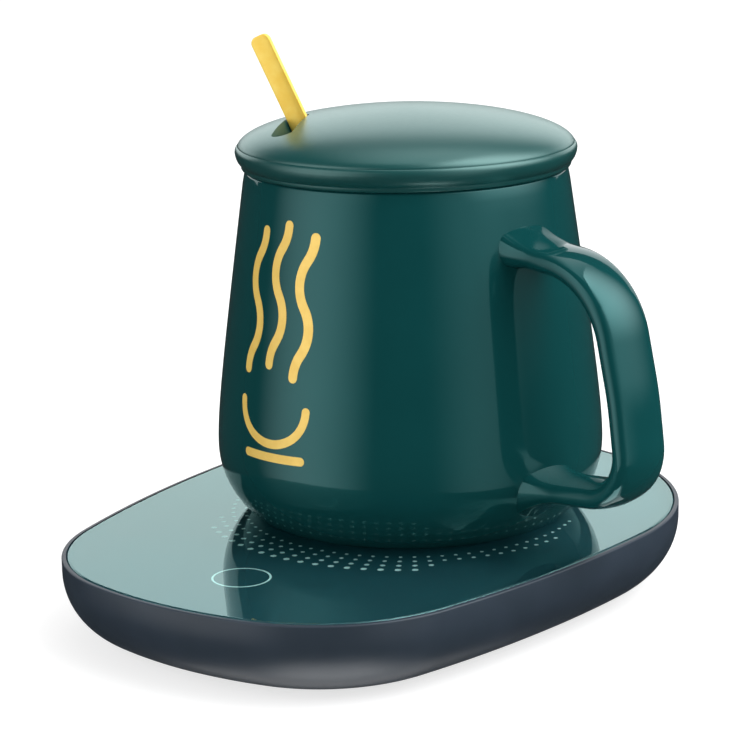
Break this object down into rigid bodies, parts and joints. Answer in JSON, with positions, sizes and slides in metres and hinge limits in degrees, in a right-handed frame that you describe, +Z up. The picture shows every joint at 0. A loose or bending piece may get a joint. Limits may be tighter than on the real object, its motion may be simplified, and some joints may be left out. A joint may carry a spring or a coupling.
{
  "type": "electric mug warmer",
  "caption": "Electric mug warmer set: rounded heated glass base with touch ring, tapered green mug with strap handle, domed lid with spoon slot, and gold stirring spoon.",
  "frame": {"origin": "centre of the warming face, on the glass top under the axis of the mug", "axes": "+Z up, +Y towards the back end with the power socket, -Y towards the touch ring, +X right; the base is symmetric about X = 0"},
  "size_m": [0.1336, 0.1555, 0.1299],
  "materials": {
    "glass_top": "gloss",
    "black_adhesive": "matt",
    "slate_plastic": "satin",
    "cover_plastic": "satin",
    "foot_rubber": "matt",
    "screw_steel": "satin",
    "heater_aluminium": "satin",
    "mica": "satin",
    "fibre_pad": "matt",
    "tray_steel": "satin",
    "cutout_plastic": "satin",
    "sensor_epoxy": "gloss",
    "circuit_board": "satin",
    "component_plastic": "satin",
    "spring_steel": "bright",
    "led_lens": "gloss",
    "socket_steel": "bright",
    "wire_insulation": "satin",
    "green_glaze": "gloss",
    "gold_steel": "polished gold plate"
  },
  "bodies": {
    "base": {"glass_top": "glass_top", "glass_gasket": "black_adhesive", "body_shell": "slate_plastic", "bottom_cover": "cover_plastic", "rubber_feet": "foot_rubber", "case_screws": "screw_steel", "heating_plate": "heater_aluminium", "heating_element": "mica", "insulation_pad": "fibre_pad", "heater_tray": "tray_steel", "thermal_cutout": "cutout_plastic", "temperature_sensor": "sensor_epoxy", "control_board": "circuit_board", "board_components": "component_plastic", "board_screws": "screw_steel", "touch_spring": "spring_steel", "status_led": "led_lens", "power_socket": "socket_steel", "inlet_board": "circuit_board", "inlet_screws": "screw_steel", "inlet_leads": "wire_insulation", "heater_leads": "wire_insulation"},
    "mug": {"mug": "green_glaze", "mug_handle": "green_glaze"},
    "lid": {"lid": "green_glaze"},
    "spoon": {"spoon": "gold_steel"}
  },
  "joints": [
    {"name": "mug_lift", "type": "slide", "parent": "base", "child": "mug", "axis": [0, 0, 1], "range_m": [0, 0.06]},
    {"name": "lid_lift", "type": "slide", "parent": "mug", "child": "lid", "axis": [0, 0, 1], "range_m": [0, 0.092]},
    {"name": "spoon_slide", "type": "slide", "parent": "lid", "child": "spoon", "axis": [-0.3852, -0.1659, 0.9078], "range_m": [0, 0.05]}
  ]
}
